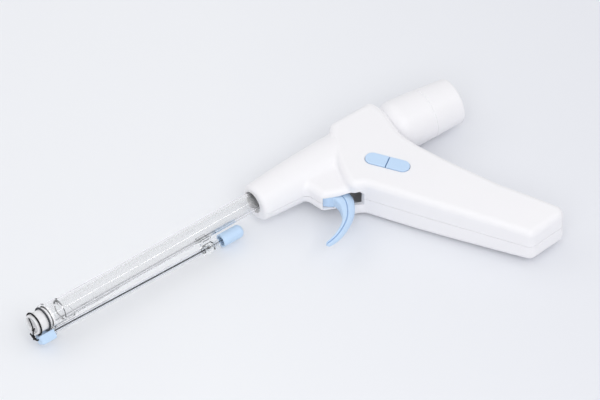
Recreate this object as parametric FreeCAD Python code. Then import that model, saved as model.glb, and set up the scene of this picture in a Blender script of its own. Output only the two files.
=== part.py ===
import FreeCAD, Part
import math
import os

from FreeCAD import Placement, Rotation, Vector

# Hemorrhoid ligator, a pistol-shaped suction gun that lies on its side.
# X runs along the barrel from the tip to the rear, the handle points to -Y, and Z is the
# thickness. While it is built, the origin is on the barrel axis at the nose face. At the end
# everything moves so that the origin is under the middle of the whole object.

# Ligating drum: the clear cup at the tip that holds the loop and the band
drum_front_x = -159.0
drum_length = 11.6
drum_mouth_depth = 7.0
drum_mouth_r = 4.9
drum_wall = 1.4
drum_rim_round = 0.4

# Inner suction tube, glued into the drum and the manifold
suction_tube_bore_r = 3.8
suction_tube_wall = 0.8
suction_tube_end_x = 66.0
suction_tube_lap = 3.6
glue_gap = 0.05

# Outer pusher sleeve, which the trigger pushes forward over the drum
pusher_stroke = 7.92
sleeve_r = 5.8
sleeve_wall = 0.8
sleeve_end_x = 42.5
front_sleeve_r = 6.35
front_sleeve_end_x = -112.0
sleeve_taper_end_x = -98.0
head_gap = 0.1
head_wall = 0.7
head_length = 10.7
head_slant_deg = 22.0
flange_x = -149.0
flange_r = 8.4
flange_length = 1.3
ear_r = 2.7
web_thickness = 1.2
slide_gap = 0.3

# Loop and band on the drum
band_gap = 0.05
loop_section = 0.9
band_section = 1.3
loop_x = -157.4
band_x = -151.1

# Thread line beside the sleeve, rolled away from straight down the handle side
roll_deg = 50.0
thread_front_reach = 9.2
thread_rear_reach = 11.2
thread_r = 0.45
thread_bulb_r = 0.8
thread_tail_r = 0.25
knot_r = 1.2
knot_x = -159.4
mouth_thread_x = -158.0
mouth_thread_r = 0.4
thread_tube_r = 1.5
thread_tube_bore_r = 0.95
block_front_x = -158.8
block_width = 6.8
block_height = 5.1
block_round = 1.4
clip_front_x = -41.0
clip_length = 10.0
clip_r = 3.0
clip_lap = 4.5
clip_bore_r = 1.2
clip_foot_wall = 1.1
clip_foot_angle = 80.0
clip_foot_length = 6.0
stub_r = 2.0
stub_lap = 3.0
stub_end_x = -17.4

# Pull cap that tightens the thread
cap_x = -28.2
cap_length = 15.0
cap_r = 4.0
cap_mouth_r = 3.1
cap_mouth_depth = 4.0
cap_socket_depth = 11.2
cap_end_round = 2.8

# Housing: a slab with the handle, a round nose and a keel that carries the trigger
half_thickness = 14.0
housing_wall = 2.2
housing_round = 4.2
handle_thinning = 2.2
handle_thin_start_y = -50.0
handle_thin_end_y = -127.0
seam_depth = 0.45
seam_half_width = 0.2
nose_drop = 1.9
nose_front_r = 11.2
nose_mid_r = 13.2
nose_rear_r = 13.9
nose_mid_x = 30.0
nose_end_x = 72.0
nose_front_round = 3.0
nose_lip = 2.0
nose_opening_r = 6.85
nose_opening_drop = 0.7
keel_half = 8.0
keel_round = 4.0
keel_blend_r = 5.0
slab_blend_r = 2.5
slab_outline = [
    (66.0, 12.2, 6.0),
    (95.6, 12.2, 5.0),
    (98.0, 1.0, 28.0),
    (94.4, -19.0, 28.0),
    (96.8, -32.0, 40.0),
    (103.6, -53.5, 90.0),
    (115.2, -84.0, 90.0),
    (124.6, -102.0, 60.0),
    (135.8, -124.6, 5.5),
    (105.6, -127.4, 5.0),
    (70.2, -68.0, 120.0),
    (53.2, -38.0, 7.0),
    (46.4, -34.5, 4.8),
    (46.2, -29.0, 10.0),
    (52.0, -13.0, 30.0),
    (60.4, 5.0, 8.0),
]
keel_outline = [
    (27.8, -6.0, 0.0),
    (29.2, -17.2, 6.0),
    (31.2, -26.4, 4.3),
    (43.0, -31.8, 14.0),
    (54.0, -38.0, 5.0),
    (60.0, -28.0, 0.0),
    (58.0, -6.0, 0.0),
]

# Nose bush and return spring
bush_length = 9.0
bush_gap = 0.05
bush_bore_gap = 0.06
spring_wire_r = 0.45
spring_coil_r = 6.75
spring_turns = 7

# Springs are coils of a wire with flats: steps per turn and sides of the wire
coil_steps = 14
wire_sides = 6

# Carriage on the rear end of the sleeve, with the pin that the trigger's fork drives
carriage_front_x = 33.5
carriage_ring_r = 7.2
carriage_step = 1.0
carriage_pin_drop = 9.5
carriage_pin_r = 1.5
cheek_gap = 2.6
cheek_thickness = 2.6
cheek_bottom_y = -12.3
cheek_shoulder_y = -6.2
cheek_front_x = 39.5
cheek_tail = 4.0

# Trigger with its hub, lug and fork
pivot_x = 43.5
pivot_y = -26.0
trigger_swing = 27.0
trigger_half = 3.9
trigger_front_round = 3.1
trigger_rear_round = 1.0
hub_r = 4.6
pivot_pin_r = 1.5
pivot_gap = 0.05
pivot_pin_half = 7.0
pivot_boss_r = 3.4
pivot_boss_gap = 0.4
fork_half_thickness = 2.2
fork_half_width = 4.0
fork_tip = 17.8
fork_slot_depth = 3.6
fork_gap = 0.08
trigger_rear_line = [(48.1, -27.0), (48.2, -32.3), (43.9, -41.1), (36.8, -48.6), (25.5, -56.0),
                     (11.9, -57.7)]
trigger_front_line = [(11.0, -52.4), (17.4, -51.1), (26.4, -47.4), (31.6, -43.2), (35.0, -38.6),
                      (36.9, -33.0), (37.6, -28.6)]
lug_front_x = 31.9
lug_top_y = -24.8
lug_bottom_y = -28.8
lug_round = 1.2
slot_front_x = 31.6
slot_rear_x = 52.8
slot_half = 4.4
slot_top_y = -24.2
slot_bottom_y = -42.0
slot_flare_start_x = 40.0
slot_flare_end_x = 50.3
slot_flare_half = 6.6
slot_flare_top_y = -29.5

# Keys: one pill split in two halves, over two valve plungers
key_centre_x = 73.1
key_centre_y = -33.5
key_lean_deg = 33.0
key_length = 27.0
key_width = 8.6
key_split = 0.5
key_proud = 1.0
key_gap = 0.3
key_crown_round = 0.6
skirt_width = 1.0
skirt_thickness = 1.2
skirt_gap = 0.4
key_pitch_inset = 0.1
plunger_r = 2.9
plunger_length = 14.0
valve_gap = 0.3
valve_seal_r = 0.55
valve_seal_z = 1.5
running_gap = 0.03
key_spring_coil_r = 4.1
key_spring_wire_r = 0.35
key_spring_turns = 3

# Manifold inside the housing
chest_top_z = 5.0
chest_bottom_z = -9.0
chest_width = 12.0
chest_wall = 1.4
socket_x = 56.0
socket_length = 14.0
socket_r = 7.2
duct_r = 3.6
duct_bore_r = 2.2
cross_bore_r = 1.2
cradle_x = 60.0
cradle_thickness = 2.2
pad_r = 3.5

# Rear chamber and its cap, on an axis that leans a little towards the handle
chamber_x = 92.0
chamber_y = -2.8
chamber_lean_deg = 5.0
chamber_face = 4.5
chamber_front_r = 11.0
chamber_shoulder_r = 15.8
chamber_shoulder = 13.0
chamber_seam = 30.0
chamber_seam_r = 15.1
chamber_end = 49.9
chamber_end_r = 13.7
chamber_end_round = 1.6
chamber_wall = 1.9
seam_chamfer = 0.4
housing_gap = 0.3
neck_r = 8.0
neck_flange_r = 10.0
neck_flange_start = -3.4
neck_flange_end = -1.1
bulkhead_gap = 0.1
spigot_r = 4.0
spigot_end = -10.0
rear_socket_r = 6.2
rear_socket_front = -12.5
rear_socket_back = -5.0
socket_gap = 0.1
spigot_seal_r = 0.5
spigot_seal_place = -8.0
cap_ring_r = 11.0
cap_ring_length = 2.0
cap_spigot_length = 6.0
cap_spigot_gap = 0.1
cap_seal_r = 0.68
cap_recess_r = 11.6
cap_recess_depth = 3.0
cap_plate = 2.2
hose_socket_r = 4.0
hose_socket_depth = 16.0
hose_socket_wall = 2.2
hose_throat_r = 2.8

# Shell screws, driven from the side that lies on the table
screw_places = [(74.8, 6.4), (58.0, -17.0), (65.0, -44.5), (90.0, -66.0), (110.0, -106.0)]
screw_r = 1.45
screw_length = 17.0
screw_head_r = 2.6
screw_head_height = 1.8
screw_drive_r = 1.2
screw_drive_depth = 1.0
well_r = 2.9
well_floor_z = -10.0
well_wall = 1.2
screw_hole_r = 1.6
pilot_gap = 0.05
boss_r = 2.9

# Values that follow from the sizes above
drum_r = drum_mouth_r + drum_wall
drum_end_x = drum_front_x + drum_length
suction_tube_r = suction_tube_bore_r + suction_tube_wall
suction_tube_front_x = drum_end_x - suction_tube_lap
sleeve_bore_r = sleeve_r - sleeve_wall
head_bore_r = drum_r + head_gap
head_end_x = flange_x + head_length
head_r = head_bore_r + head_wall
head_bore_end_x = drum_end_x + pusher_stroke + slide_gap
block_inner_r = drum_r + band_gap + band_section + slide_gap
cavity_z = half_thickness - housing_wall
key_top_z = half_thickness + key_proud
key_pitch = key_length / 2 - key_pitch_inset
skirt_top_z = cavity_z - skirt_gap
skirt_bottom_z = skirt_top_z - skirt_thickness
half_swing = math.radians(trigger_swing / 2)
fork_drop = -pivot_y - carriage_pin_drop
carriage_pin_x = pivot_x + fork_drop * math.tan(half_swing)
carriage_end_x = sleeve_end_x + carriage_step
roll = math.radians(roll_deg)
thread_side = Vector(0, -math.cos(roll), -math.sin(roll))
key_place = Placement(Vector(key_centre_x, key_centre_y, 0), Rotation(Vector(0, 0, 1), key_lean_deg - 90))
chamber_place = Placement(Vector(chamber_x, chamber_y, 0), Rotation(Vector(0, 0, 1), -chamber_lean_deg))
pivot = Vector(pivot_x, pivot_y, 0)


def bar_x(x0, x1, r, y=0.0, z=0.0):
    """A round bar along X."""
    return Part.makeCylinder(r, x1 - x0, Vector(x0, y, z), Vector(1, 0, 0))


def tube_x(x0, x1, r, bore):
    """A tube on the barrel axis."""
    return bar_x(x0, x1, r).cut(bar_x(x0, x1, bore))


def post_z(x, y, z0, z1, r):
    """A round post along Z."""
    return Part.makeCylinder(r, z1 - z0, Vector(x, y, z0), Vector(0, 0, 1))


def rod(start, end, r):
    """A round bar between two points."""
    return Part.makeCylinder(r, (end - start).Length, start, end - start)


def block(x0, x1, y0, y1, z0, z1):
    """A box between two corners."""
    return Part.makeBox(x1 - x0, y1 - y0, z1 - z0, Vector(x0, y0, z0))


def ring_x(x, middle_r, section_r):
    """A ring of round section about the barrel axis."""
    return Part.makeTorus(middle_r, section_r, Vector(x, 0, 0), Vector(1, 0, 0))


def revolve_x(profile):
    """A solid of revolution about X from (x, radius) points in one closed outline."""
    wire = Part.makePolygon([Vector(x, r, 0) for x, r in profile + profile[:1]])
    return Part.Face(wire).revolve(Vector(0, 0, 0), Vector(1, 0, 0), 360)


def rounded_wire(outline):
    """A closed flat outline whose corners (x, y, radius) are tangent arcs."""
    count = len(outline)
    arcs = []
    starts = []
    ends = []
    for i, (x, y, r) in enumerate(outline):
        corner = Vector(x, y, 0)
        before = Vector(outline[i - 1][0] - x, outline[i - 1][1] - y, 0)
        after = Vector(outline[(i + 1) % count][0] - x, outline[(i + 1) % count][1] - y, 0)
        before.normalize()
        after.normalize()
        half = before.getAngle(after) / 2
        starts.append(corner + before * (r / math.tan(half)))
        ends.append(corner + after * (r / math.tan(half)))
        inward = before + after
        inward.normalize()
        middle = corner + inward * (r / math.sin(half) - r)
        arcs.append(Part.Arc(starts[i], middle, ends[i]).toShape() if r > 0 else None)
    edges = []
    for i in range(count):
        if arcs[i] is not None:
            edges.append(arcs[i])
        edges.append(Part.LineSegment(ends[i], starts[(i + 1) % count]).toShape())
    return Part.Wire(edges)


def plate(wire, z0, z1):
    """A flat plate of an outline between two heights."""
    face = Part.Face(wire)
    face.translate(Vector(0, 0, z0))
    return face.extrude(Vector(0, 0, z1 - z0))


def inset(wire, depth):
    """An outline moved inwards by a depth."""
    return Part.Face(wire).makeOffset2D(-depth).OuterWire


def flat_face(points):
    """A flat face with straight edges."""
    return Part.Face(Part.makePolygon(points + points[:1]))


def flat_edges(solid, z):
    """The edges of a solid that lie wholly at one height."""
    return [e for e in solid.Edges if abs(e.BoundBox.ZMin - z) < 1e-4 and abs(e.BoundBox.ZMax - z) < 1e-4]


def coil_z(z0, z1, coil_r, wire_r, turns):
    """A compression spring along Z between two seats, with flats along its round wire."""
    steps = coil_steps * turns
    height = z1 - z0 - 2 * wire_r
    rings = []
    for i in range(steps + 1):
        angle = 2 * math.pi * i / coil_steps
        out = Vector(math.cos(angle), math.sin(angle), 0)
        middle = out * coil_r + Vector(0, 0, z0 + wire_r + height * i / steps)
        ring = []
        for k in range(wire_sides):
            turn = 2 * math.pi * (k + 0.5) / wire_sides
            ring.append(middle + out * (wire_r * math.cos(turn)) + Vector(0, 0, wire_r * math.sin(turn)))
        rings.append(ring)
    faces = [flat_face(rings[0]), flat_face(rings[-1])]
    for here, there in zip(rings, rings[1:]):
        for k in range(wire_sides):
            j = (k + 1) % wire_sides
            faces.append(flat_face([here[k], here[j], there[j]]))
            faces.append(flat_face([here[k], there[j], there[k]]))
    coil = Part.Solid(Part.makeShell(faces))
    if coil.Volume < 0:
        coil.reverse()
    return coil


def on_axis(shape):
    """Turns a shape built along Z so that it lies along X."""
    shape.rotate(Vector(0, 0, 0), Vector(0, 1, 0), 90)
    return shape


def thread_point(x):
    """The point of the thread line beside the sleeve at a place along the barrel."""
    share = min((x - flange_x) / (clip_front_x - flange_x), 1.0)
    reach = thread_front_reach + (thread_rear_reach - thread_front_reach) * share
    return Vector(x, 0, 0) + thread_side * reach


def thread_rod(x0, x1, r):
    """A round bar along the thread line."""
    return rod(thread_point(x0), thread_point(x1), r)


# Barrel: drum, suction tube, loop, band and sleeve

def ligating_drum():
    """Clear cup with a mouth, a ledge and a socket for the suction tube."""
    cup = bar_x(drum_front_x, drum_end_x, drum_r)
    cup = cup.cut(bar_x(drum_front_x, drum_front_x + drum_mouth_depth, drum_mouth_r))
    rims = [e for e in cup.Edges if e.BoundBox.XMax < drum_front_x + 1e-4]
    cup = cup.makeFillet(drum_rim_round, rims)
    cup = cup.cut(bar_x(drum_front_x, drum_end_x, suction_tube_bore_r))
    return cup.cut(bar_x(suction_tube_front_x, drum_end_x, suction_tube_r + glue_gap))


def suction_tube():
    """Clear inner tube from the drum's socket to the manifold."""
    return tube_x(suction_tube_front_x, suction_tube_end_x, suction_tube_r, suction_tube_bore_r)


def pusher_sleeve():
    """Clear outer sleeve with a flange, a head over the drum and a web for the thread tube."""
    slant_x = head_r * math.tan(math.radians(head_slant_deg))
    slant_end_x = head_end_x + 2 * slant_x
    body = revolve_x([
        (flange_x, 0),
        (flange_x, flange_r),
        (flange_x + flange_length, flange_r),
        (flange_x + flange_length, head_r),
        (slant_end_x, head_r),
        (slant_end_x, front_sleeve_r),
        (front_sleeve_end_x, front_sleeve_r),
        (sleeve_taper_end_x, sleeve_r),
        (sleeve_end_x, sleeve_r),
        (sleeve_end_x, 0),
    ])
    beyond = Part.makeBox(60, 60, 60, Vector(0, -30, -30))
    beyond.rotate(Vector(0, 0, 0), Vector(0, 0, 1), head_slant_deg)
    beyond.translate(Vector(head_end_x + slant_x, 0, 0))
    beyond.rotate(Vector(0, 0, 0), Vector(1, 0, 0), roll_deg)
    body = body.cut(tube_x(head_end_x - 1, slant_end_x + 1, head_r + 1, front_sleeve_r).common(beyond))
    ear = thread_rod(flange_x, flange_x + flange_length, ear_r)
    web = Part.makePolygon([
        Vector(flange_x, 0, 0),
        Vector(flange_x, -thread_front_reach, 0),
        Vector(front_sleeve_end_x, -thread_front_reach, 0),
        Vector(sleeve_taper_end_x, -sleeve_r + sleeve_wall / 2, 0),
        Vector(sleeve_taper_end_x, 0, 0),
        Vector(flange_x, 0, 0),
    ])
    web = Part.Face(web).extrude(Vector(0, 0, web_thickness))
    web.translate(Vector(0, 0, -web_thickness / 2))
    web.rotate(Vector(0, 0, 0), Vector(1, 0, 0), roll_deg)
    body = body.fuse([ear, web])
    body = body.cut(revolve_x([
        (flange_x, 0),
        (flange_x, head_bore_r),
        (head_bore_end_x, head_bore_r),
        (head_bore_end_x, sleeve_bore_r),
        (sleeve_end_x, sleeve_bore_r),
        (sleeve_end_x, 0),
    ]))
    thread_hole = thread_rod(flange_x - 1, clip_front_x, thread_tube_r + running_gap)
    return body.cut(thread_hole).removeSplitter()


def stretched_ring(x, section):
    """An elastic ring that sits round the drum."""
    return ring_x(x, drum_r + band_gap + section / 2, section / 2)


def thread_block():
    """Blue finger in front of the flange that leads the thread beside the drum."""
    outer_y = -block_inner_r - block_height
    body = block(block_front_x, flange_x, outer_y, -block_inner_r + 1.2, -block_width / 2, block_width / 2)
    edges = [e for e in body.Edges if abs(e.CenterOfMass.y - outer_y) < 1e-4 or
             abs(e.CenterOfMass.x - block_front_x) < 1e-4]
    edges = [e for e in edges if abs(e.CenterOfMass.x - flange_x) > 1e-4]
    body = body.makeFillet(block_round, edges)
    body = body.cut(bar_x(block_front_x - 1, flange_x, block_inner_r))
    body.rotate(Vector(0, 0, 0), Vector(1, 0, 0), roll_deg)
    return body.cut(thread_rod(block_front_x - 1, flange_x + 1, thread_r + running_gap))


def thread_tube():
    """Small clear tube that leads the thread from the flange to the clip."""
    end_x = clip_front_x + clip_lap
    body = thread_rod(flange_x, end_x, thread_tube_r)
    return body.cut(thread_rod(flange_x - 1, end_x + 1, thread_tube_bore_r))


def ligature_thread():
    """Black thread with the knot at the block, the bulb in the clip and a thin tail."""
    bulb_x = clip_front_x + clip_lap - thread_bulb_r
    line = thread_rod(knot_x, bulb_x, thread_r)
    knot = Part.makeSphere(knot_r, thread_point(knot_x))
    bulb = Part.makeSphere(thread_bulb_r, thread_point(bulb_x))
    tail = thread_rod(bulb_x, stub_end_x - 1, thread_tail_r)
    return line.fuse([knot, bulb, tail])


def mouth_thread():
    """Black thread that crosses the mouth of the drum in three arms."""
    middle = Vector(mouth_thread_x, -0.4, -0.4)
    arms = []
    for angle in (0, 130, 235):
        turn = roll + math.radians(angle)
        end = Vector(mouth_thread_x, -drum_mouth_r * math.cos(turn), -drum_mouth_r * math.sin(turn))
        arms.append(rod(middle, end, mouth_thread_r))
    body = Part.makeSphere(mouth_thread_r * 1.3, middle).fuse(arms)
    return body.common(bar_x(drum_front_x, mouth_thread_x + 2, drum_mouth_r - running_gap))


def tube_clip():
    """Clear union on the thread line, with a foot that holds it on the sleeve."""
    end_x = clip_front_x + clip_length
    line = thread_side * thread_rear_reach
    union = rod(Vector(clip_front_x, 0, 0) + line, Vector(end_x, 0, 0) + line, clip_r)
    foot_end_x = clip_front_x + clip_foot_length
    foot_r = sleeve_r + clip_foot_wall
    web = block(clip_front_x, foot_end_x, -thread_rear_reach, -sleeve_r, -web_thickness, web_thickness)
    wedge = Part.makePolygon([
        Vector(clip_front_x, 0, 0),
        Vector(clip_front_x, -20, 20 * math.tan(math.radians(clip_foot_angle / 2))),
        Vector(clip_front_x, -20, -20 * math.tan(math.radians(clip_foot_angle / 2))),
        Vector(clip_front_x, 0, 0),
    ])
    wedge = Part.Face(wedge).extrude(Vector(clip_foot_length, 0, 0))
    foot = bar_x(clip_front_x, foot_end_x, foot_r).common(wedge).fuse(web)
    foot.rotate(Vector(0, 0, 0), Vector(1, 0, 0), roll_deg)
    body = union.fuse(foot)
    body = body.cut(bar_x(clip_front_x - 1, foot_end_x + 1, sleeve_r + glue_gap))
    body = body.cut(thread_rod(clip_front_x - 1, end_x + 1, clip_bore_r))
    body = body.cut(thread_rod(clip_front_x - 1, clip_front_x + clip_lap, thread_tube_r + running_gap))
    return body.cut(thread_rod(end_x - stub_lap, end_x + 1, stub_r + running_gap))


def thread_stub():
    """Clear tube that carries the pull cap."""
    start_x = clip_front_x + clip_length - stub_lap
    body = thread_rod(start_x, stub_end_x, stub_r)
    return body.cut(thread_rod(start_x - 1, stub_end_x + 1, clip_bore_r))


def pull_cap():
    """Blue cap with a wide mouth and a rounded end that slides on the stub."""
    line = thread_side * thread_rear_reach
    body = Part.makeCylinder(cap_r, cap_length, Vector(cap_x, 0, 0) + line, Vector(1, 0, 0))
    ends = [e for e in body.Edges if e.BoundBox.XMin > cap_x + cap_length - 1e-4]
    body = body.makeFillet(cap_end_round, ends)
    body = body.cut(thread_rod(cap_x - 1, cap_x + cap_mouth_depth, cap_mouth_r))
    return body.cut(thread_rod(cap_x - 1, cap_x + cap_socket_depth, stub_r + glue_gap))


# Housing

def slab(depth):
    """The slab with the handle, moved inwards by a depth. The handle gets thinner to its end."""
    wire = rounded_wire(slab_outline)
    if depth > 0:
        wire = inset(wire, depth)
    half = half_thickness - depth
    body = plate(wire, -half, half)
    thin = half - handle_thinning
    middle_y = (handle_thin_start_y + handle_thin_end_y) / 2
    middle_z = half - handle_thinning / 4
    corners = [Vector(0, 60, -half), Vector(0, 60, half), Vector(0, handle_thin_start_y, half)]
    ends = [Vector(0, handle_thin_end_y, thin), Vector(0, handle_thin_end_y - 20, thin - 1)]
    mirror = [Vector(p.x, p.y, -p.z) for p in ends]
    side = [
        Part.LineSegment(corners[0], corners[1]).toShape(),
        Part.LineSegment(corners[1], corners[2]).toShape(),
        Part.Arc(corners[2], Vector(0, middle_y, middle_z), ends[0]).toShape(),
        Part.LineSegment(ends[0], ends[1]).toShape(),
        Part.LineSegment(ends[1], mirror[1]).toShape(),
        Part.LineSegment(mirror[1], mirror[0]).toShape(),
        Part.Arc(mirror[0], Vector(0, middle_y, -middle_z), Vector(0, handle_thin_start_y, -half)).toShape(),
        Part.LineSegment(Vector(0, handle_thin_start_y, -half), corners[0]).toShape(),
    ]
    body = body.common(Part.Face(Part.Wire(side)).extrude(Vector(200, 0, 0)))
    if depth > 0:
        return body
    rims = [e for e in body.Edges if abs(e.CenterOfMass.z) > half - handle_thinning - 0.2 and
            e.BoundBox.ZLength < handle_thinning + 0.1 and abs(e.CenterOfMass.y - handle_thin_start_y) > 1e-3]
    rims = [e for e in rims if not (e.BoundBox.YLength < 1e-3 and e.BoundBox.XLength > 20 and
                                    handle_thin_end_y - 1 < e.CenterOfMass.y < handle_thin_start_y + 1)]
    return body.makeFillet(housing_round, rims)


def nose(depth):
    """The round nose, moved inwards by a depth."""
    front_r = nose_front_r - depth
    rear_r = nose_rear_r - depth
    front = Vector(0, front_r, 0)
    rear = Vector(nose_end_x, rear_r, 0)
    edges = [
        Part.LineSegment(Vector(0, 0, 0), front).toShape(),
        Part.Arc(front, Vector(nose_mid_x, nose_mid_r - depth, 0), rear).toShape(),
        Part.LineSegment(rear, Vector(nose_end_x, 0, 0)).toShape(),
        Part.LineSegment(Vector(nose_end_x, 0, 0), Vector(0, 0, 0)).toShape(),
    ]
    body = Part.Face(Part.Wire(edges)).revolve(Vector(0, 0, 0), Vector(1, 0, 0), 360)
    if depth < nose_front_round / 2:
        rim = [e for e in body.Edges if e.BoundBox.XMax < 1e-4]
        body = body.makeFillet(nose_front_round - depth, rim)
    body.translate(Vector(0, -nose_drop, 0))
    return body


def keel(depth):
    """The keel that carries the trigger, moved inwards by a depth."""
    wire = rounded_wire(keel_outline)
    half = keel_half - depth
    if depth > 0:
        return plate(inset(wire, depth), -half, half)
    body = plate(wire, -half, half)
    return body.makeFillet(keel_round, flat_edges(body, half) + flat_edges(body, -half))


def chamber_form(depth, start, end):
    """The outside of the rear chamber and cap, moved inwards by a depth, on its own axis."""
    shoulder_r = chamber_shoulder_r - depth
    front_r = chamber_front_r - depth
    run = chamber_shoulder - start
    drop = shoulder_r - front_r
    arc_r = (run ** 2 + drop ** 2) / (2 * drop)
    bend = math.asin(run / arc_r) / 2
    middle = Vector(chamber_shoulder - arc_r * math.sin(bend), shoulder_r - arc_r * (1 - math.cos(bend)), 0)
    corners = [
        Vector(start, 0, 0),
        Vector(start, front_r, 0),
        Vector(chamber_shoulder, shoulder_r, 0),
        Vector(chamber_seam, chamber_seam_r - depth, 0),
    ]
    if end > chamber_seam:
        share = (end - chamber_seam) / (chamber_end - chamber_seam)
        end_r = chamber_seam_r + (chamber_end_r - chamber_seam_r) * share
        corners.append(Vector(end, end_r - depth, 0))
    corners.append(Vector(end, 0, 0))
    edges = [Part.LineSegment(corners[0], corners[1]).toShape()]
    edges.append(Part.Arc(corners[1], middle, corners[2]).toShape())
    for here, there in zip(corners[2:], corners[3:] + corners[:1]):
        edges.append(Part.LineSegment(here, there).toShape())
    return Part.Face(Part.Wire(edges)).revolve(Vector(0, 0, 0), Vector(1, 0, 0), 360)


def placed(shape, place):
    """A shape moved from its own axes into the frame of the gun."""
    moved = shape.copy()
    moved.Placement = place.multiply(moved.Placement)
    return moved


def pill(length, width, z0, z1):
    """A plate with two round ends about the key centre."""
    reach = (length - width) / 2
    body = block(-reach, reach, -width / 2, width / 2, z0, z1)
    body = body.fuse([post_z(-reach, 0, z0, z1, width / 2), post_z(reach, 0, z0, z1, width / 2)])
    return body.removeSplitter()


def meeting_edges(solid, one, other):
    """The edges of a solid that lie where two of its forms meet."""
    meeting = one.section(other)
    middles = [(e, Part.Vertex(e.valueAt((e.FirstParameter + e.LastParameter) / 2))) for e in solid.Edges]
    return [e for e, middle in middles if middle.distToShape(meeting)[0] < 1e-3]


def outer_form():
    """The outside of the housing, hollowed softly where the nose meets the keel and the slab."""
    flat = slab(0)
    round_nose = nose(0)
    low_keel = keel(0)
    body = flat.fuse([round_nose, low_keel]).removeSplitter()
    body = body.makeFillet(keel_blend_r, meeting_edges(body, round_nose, low_keel))
    return body.makeFillet(slab_blend_r, meeting_edges(body, round_nose, flat))


def trigger_slot():
    """The slot in the keel for the trigger, which flares towards its rear end."""
    straight = block(slot_front_x, slot_rear_x, slot_bottom_y, slot_top_y, -slot_half, slot_half)
    flare = flat_face([
        Vector(slot_flare_start_x, slot_bottom_y, slot_half),
        Vector(slot_flare_end_x, slot_bottom_y, slot_flare_half),
        Vector(slot_rear_x, slot_bottom_y, slot_half),
    ]).extrude(Vector(0, slot_flare_top_y - slot_bottom_y, 0))
    return straight.fuse(flare).removeSplitter()


def housing():
    """The whole hollow housing before it is split."""
    outside = outer_form()
    core = slab(seam_depth).fuse([nose(seam_depth), keel(seam_depth)])
    band = block(-5, 150, -140, 30, -seam_half_width, seam_half_width)
    groove = band.cut(core)
    lip = block(nose_lip, 90, -30, 30, -30, 30)
    cavity = slab(housing_wall).fuse([nose(housing_wall).common(lip), keel(housing_wall)])
    body = outside.cut(groove).cut(cavity)

    bulkhead = placed(block(-1.0, chamber_face - bulkhead_gap, -14, 14, -20, 20), chamber_place)
    cradle = block(cradle_x, cradle_x + cradle_thickness, -11, 9.5, -20, 20)
    supports = [bulkhead, cradle]
    for x, y in screw_places:
        supports.append(post_z(x, y, -20, 20, boss_r))
        supports.append(post_z(x, y, -20, well_floor_z + 1.8, well_r + well_wall))
    supports.append(post_z(key_centre_x, key_centre_y, -20, chest_bottom_z - glue_gap, pad_r))
    supports = [s.common(slab(1.0).fuse(nose(1.0))) for s in supports]
    body = body.fuse(supports)

    body = body.cut(trigger_slot())
    boss_start = trigger_half + pivot_boss_gap
    for z0, z1 in ((boss_start, keel_half - 1), (1 - keel_half, -boss_start)):
        body = body.fuse(post_z(pivot_x, pivot_y, z0, z1, pivot_boss_r))

    cuts = [
        bar_x(-1, nose_lip + 1, nose_opening_r, -nose_opening_drop),
        placed(chamber_form(-housing_gap, chamber_face - bulkhead_gap, chamber_end), chamber_place),
        placed(bar_x(-9, chamber_face + 1, neck_r + bulkhead_gap), chamber_place),
        bar_x(cradle_x - 1, cradle_x + cradle_thickness + 1, socket_r + glue_gap),
        post_z(pivot_x, pivot_y, -pivot_pin_half, pivot_pin_half, pivot_pin_r + pivot_gap),
        placed(pill(key_length + 2 * key_gap, key_width + 2 * key_gap, cavity_z - 1, half_thickness + 1),
               key_place),
    ]
    for x, y in screw_places:
        cuts.append(post_z(x, y, -20, well_floor_z, well_r))
        cuts.append(post_z(x, y, well_floor_z, 0, screw_hole_r))
        cuts.append(post_z(x, y, 0, well_floor_z + screw_length + 0.5, screw_r + pilot_gap))
    return body.cut(cuts)


def shell_screw(x, y):
    """Self-tapping screw with a round head and a square recess."""
    head = post_z(x, y, well_floor_z - screw_head_height, well_floor_z, screw_head_r)
    side = screw_drive_r * math.sqrt(2)
    recess = block(x - side / 2, x + side / 2, y - side / 2, y + side / 2,
                   well_floor_z - screw_head_height, well_floor_z - screw_head_height + screw_drive_depth)
    shank = post_z(x, y, well_floor_z, well_floor_z + screw_length - 2, screw_r)
    tip = Part.makeCone(screw_r, 0.4, 2, Vector(x, y, well_floor_z + screw_length - 2), Vector(0, 0, 1))
    return head.cut(recess).fuse([shank, tip]).removeSplitter()


# Drive: bush, spring, carriage and trigger

def nose_bush():
    """Bush that guides the sleeve in the nose."""
    cut = block(nose_lip + bush_gap, nose_lip + bush_length, -30, 30, -30, 30)
    body = nose(housing_wall + bush_gap).common(cut)
    return body.cut(bar_x(0, nose_lip + bush_length + 1, sleeve_r + bush_bore_gap))


def pusher_spring():
    """Spring round the sleeve that returns the carriage."""
    coil = coil_z(nose_lip + bush_length, carriage_front_x, spring_coil_r, spring_wire_r, spring_turns)
    return on_axis(coil)


def carriage():
    """Ring glued on the sleeve, with two cheeks for the drive pin."""
    cheek_outline = Part.makePolygon([
        Vector(cheek_front_x, cheek_bottom_y, 0),
        Vector(carriage_pin_x + cheek_tail, cheek_bottom_y, 0),
        Vector(carriage_pin_x + cheek_tail, cheek_shoulder_y, 0),
        Vector(carriage_end_x, cheek_shoulder_y, 0),
        Vector(carriage_end_x, -4, 0),
        Vector(cheek_front_x, -4, 0),
        Vector(cheek_front_x, cheek_bottom_y, 0),
    ])
    cheek = Part.Face(cheek_outline).extrude(Vector(0, 0, cheek_thickness))
    far = cheek.copy()
    cheek.translate(Vector(0, 0, cheek_gap))
    far.translate(Vector(0, 0, -cheek_gap - cheek_thickness))
    body = bar_x(carriage_front_x, carriage_end_x, carriage_ring_r).fuse([cheek, far])
    body = body.cut(bar_x(carriage_front_x - 1, sleeve_end_x, sleeve_r + glue_gap))
    body = body.cut(bar_x(sleeve_end_x, carriage_end_x + 1, sleeve_bore_r))
    reach = cheek_gap + cheek_thickness
    body = body.cut(post_z(carriage_pin_x, -carriage_pin_drop, -reach - 1, reach + 1,
                           carriage_pin_r + running_gap))
    return body.removeSplitter()


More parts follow.
